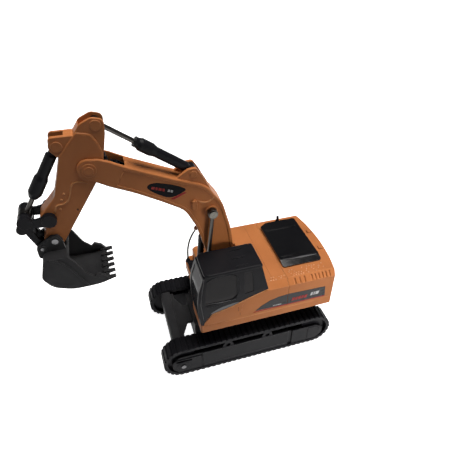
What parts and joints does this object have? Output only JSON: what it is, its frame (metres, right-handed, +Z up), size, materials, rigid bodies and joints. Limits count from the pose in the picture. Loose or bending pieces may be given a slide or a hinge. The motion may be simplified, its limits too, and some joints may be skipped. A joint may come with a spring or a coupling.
{
  "type": "toy excavator",
  "caption": "Toy excavator on two tracks: slewing house with a cab, hinged boom and stick, and a toothed bucket moved by cylinders and a link.",
  "frame": {"origin": "on the floor, on the slewing axis, midway between the two tracks", "axes": "+X forward towards the arm and bucket, +Y to the excavator's left (cab side), +Z up"},
  "size_m": [0.2221, 0.0824, 0.2133],
  "materials": {
    "orange_plastic": "satin",
    "black_plastic": "satin",
    "gloss_black": "gloss",
    "dark_grey_plastic": "matte",
    "white_plastic": "satin",
    "track_rubber": "matte",
    "rod_metal": "brushed",
    "chrome_steel": "polished",
    "screw_steel": "plain",
    "motor_steel": "plain",
    "clear_glazing": "clear",
    "blue_wrap": "satin",
    "board_green": "satin",
    "cable_sheath": "satin"
  },
  "bodies": {
    "chassis": {"chassis_frame": "dark_grey_plastic", "chassis_cover": "dark_grey_plastic", "chassis_screws": "screw_steel", "idler_axles": "chrome_steel", "slew_ring": "white_plastic", "belt_left": "track_rubber", "belt_right": "track_rubber", "track_frame_left": "black_plastic", "track_frame_right": "black_plastic", "drive_motor_left": "motor_steel", "drive_motor_right": "motor_steel"},
    "sprocket_wheel_left": {"sprocket_left": "black_plastic"},
    "sprocket_wheel_right": {"sprocket_right": "black_plastic"},
    "idler_wheel_left": {"idler_left": "black_plastic"},
    "idler_wheel_right": {"idler_right": "black_plastic"},
    "house": {"house_base": "orange_plastic", "front_shell": "orange_plastic", "rear_shell": "orange_plastic", "battery_pack": "blue_wrap", "circuit_board": "board_green", "tool_box": "orange_plastic", "step_plate": "black_plastic", "exhaust_stub": "black_plastic", "cable_grommet": "black_plastic", "house_screws": "screw_steel", "cab_body": "black_plastic", "cab_roof": "black_plastic", "windshield": "clear_glazing", "cab_windows": "clear_glazing", "cab_seat": "dark_grey_plastic", "boom_bracket": "black_plastic", "boom_pins": "chrome_steel", "slew_motor": "white_plastic", "cable": "cable_sheath"},
    "slew_drive": {"slew_pinion": "white_plastic"},
    "hatch": {"battery_hatch": "gloss_black"},
    "switch": {"power_switch": "black_plastic"},
    "boom": {"boom_shell_left": "orange_plastic", "boom_shell_right": "orange_plastic", "boom_screws": "screw_steel", "stick_motor": "black_plastic"},
    "stick_drive": {"stick_pinion": "black_plastic"},
    "stick": {"stick_shell_left": "orange_plastic", "stick_shell_right": "orange_plastic", "stick_gear": "black_plastic", "stick_screws": "screw_steel", "bucket_motor": "black_plastic"},
    "lift_cylinder_left": {"lift_barrel_left": "black_plastic"},
    "lift_cylinder_right": {"lift_barrel_right": "black_plastic"},
    "lift_piston_left": {"lift_rod_left": "rod_metal"},
    "lift_piston_right": {"lift_rod_right": "rod_metal"},
    "stick_cylinder": {"stick_barrel": "black_plastic"},
    "stick_piston": {"stick_rod": "rod_metal"},
    "bucket_cylinder": {"bucket_barrel": "black_plastic"},
    "bucket_piston": {"bucket_rod": "rod_metal"},
    "rocker_arms": {"rocker": "black_plastic"},
    "link": {"h_link": "black_plastic"},
    "bucket_group": {"bucket": "dark_grey_plastic", "bucket_pins": "chrome_steel"}
  },
  "joints": [
    {"name": "sprocket_spin_left", "type": "hinge", "parent": "chassis", "child": "sprocket_wheel_left", "pos_m": [-0.057, 0, 0.0155], "axis": [0, 1, 0], "continuous": true},
    {"name": "idler_spin_left", "type": "hinge", "parent": "chassis", "child": "idler_wheel_left", "pos_m": [0.057, 0, 0.0155], "axis": [0, 1, 0], "continuous": true},
    {"name": "sprocket_spin_right", "type": "hinge", "parent": "chassis", "child": "sprocket_wheel_right", "pos_m": [-0.057, 0, 0.0155], "axis": [0, 1, 0], "continuous": true},
    {"name": "idler_spin_right", "type": "hinge", "parent": "chassis", "child": "idler_wheel_right", "pos_m": [0.057, 0, 0.0155], "axis": [0, 1, 0], "continuous": true},
    {"name": "slew", "type": "hinge", "parent": "chassis", "child": "house", "pos_m": [0, 0, 0], "axis": [0, 0, 1], "continuous": true},
    {"name": "slew_pinion_spin", "type": "hinge", "parent": "house", "child": "slew_drive", "pos_m": [-0.018, 0, 0], "axis": [0, 0, 1], "continuous": true},
    {"name": "hatch_lift", "type": "slide", "parent": "house", "child": "hatch", "axis": [0, 0, 1], "range_m": [0, 0.015]},
    {"name": "switch_slide", "type": "slide", "parent": "house", "child": "switch", "axis": [0, 1, 0], "range_m": [0, 0.004]},
    {"name": "boom_lift", "type": "hinge", "parent": "house", "child": "boom", "pos_m": [0.011, 0, 0.062], "axis": [0, 1, 0], "range_deg": [-10, 40], "deforming": ["cable"]},
    {"name": "lift_cylinder_tilt_left", "type": "hinge", "parent": "house", "child": "lift_cylinder_left", "pos_m": [0.0296, 0.011, 0.0585], "axis": [0, 1, 0], "range_deg": [-11, 41]},
    {"name": "lift_piston_slide_left", "type": "slide", "parent": "lift_cylinder_left", "child": "lift_piston_left", "axis": [-0.0976, 0, 0.9952], "range_m": [-0.0132, 0.0034]},
    {"name": "lift_cylinder_tilt_right", "type": "hinge", "parent": "house", "child": "lift_cylinder_right", "pos_m": [0.0296, -0.011, 0.0585], "axis": [0, 1, 0], "range_deg": [-11, 41]},
    {"name": "lift_piston_slide_right", "type": "slide", "parent": "lift_cylinder_right", "child": "lift_piston_right", "axis": [-0.0976, 0, 0.9952], "range_m": [-0.0132, 0.0034]},
    {"name": "stick_swing", "type": "hinge", "parent": "boom", "child": "stick", "pos_m": [0.0976, 0, 0.1818], "axis": [0, 1, 0], "range_deg": [-25, 30]},
    {"name": "stick_pinion_spin", "type": "hinge", "parent": "boom", "child": "stick_drive", "pos_m": [0.08297, 0, 0.17733], "axis": [0, 1, 0], "range_deg": [-99, 83]},
    {"name": "stick_cylinder_tilt", "type": "hinge", "parent": "boom", "child": "stick_cylinder", "pos_m": [0.0333, 0, 0.1672], "axis": [0, 1, 0], "range_deg": [-4, 5]},
    {"name": "stick_piston_slide", "type": "slide", "parent": "stick_cylinder", "child": "stick_piston", "axis": [0.8016, 0, 0.5979], "range_m": [-0.0115, 0.0138]},
    {"name": "bucket_curl", "type": "hinge", "parent": "stick", "child": "bucket_group", "pos_m": [0.1278, 0, 0.1345], "axis": [0, 1, 0], "range_deg": [-40, 25]},
    {"name": "rocker_swing", "type": "hinge", "parent": "stick", "child": "rocker_arms", "pos_m": [0.1275, 0, 0.151], "axis": [0, 1, 0], "range_deg": [-30, 19]},
    {"name": "link_swing", "type": "hinge", "parent": "rocker_arms", "child": "link", "pos_m": [0.142, 0, 0.152], "axis": [0, 1, 0], "range_deg": [-13, 20]},
    {"name": "bucket_cylinder_tilt", "type": "hinge", "parent": "stick", "child": "bucket_cylinder", "pos_m": [0.1125, 0, 0.1984], "axis": [0, 1, 0], "range_deg": [-4, 3]},
    {"name": "bucket_piston_slide", "type": "slide", "parent": "bucket_cylinder", "child": "bucket_piston", "axis": [0.5365, 0, -0.8439], "range_m": [-0.007, 0.0044]}
  ],
  "couplings": [
    {"joint": "idler_spin_left", "follows": "sprocket_spin_left", "ratio": 1},
    {"joint": "idler_spin_right", "follows": "sprocket_spin_right", "ratio": 1},
    {"joint": "slew_pinion_spin", "follows": "slew", "ratio": 4},
    {"joint": "lift_cylinder_tilt_left", "follows": "boom_lift", "ratio": 0.995},
    {"joint": "lift_piston_slide_left", "follows": "boom_lift", "m_per_rad": -0.0181},
    {"joint": "lift_cylinder_tilt_right", "follows": "boom_lift", "ratio": 0.995},
    {"joint": "lift_piston_slide_right", "follows": "boom_lift", "m_per_rad": -0.0181},
    {"joint": "stick_pinion_spin", "follows": "stick_swing", "ratio": -3.25},
    {"joint": "stick_cylinder_tilt", "follows": "stick_swing", "ratio": 0.14},
    {"joint": "stick_piston_slide", "follows": "stick_swing", "m_per_rad": 0.026},
    {"joint": "rocker_swing", "follows": "bucket_curl", "ratio": 0.725},
    {"joint": "link_swing", "follows": "bucket_curl", "ratio": -0.49},
    {"joint": "bucket_cylinder_tilt", "follows": "bucket_curl", "ratio": 0.08},
    {"joint": "bucket_piston_slide", "follows": "bucket_curl", "m_per_rad": 0.00974}
  ]
}
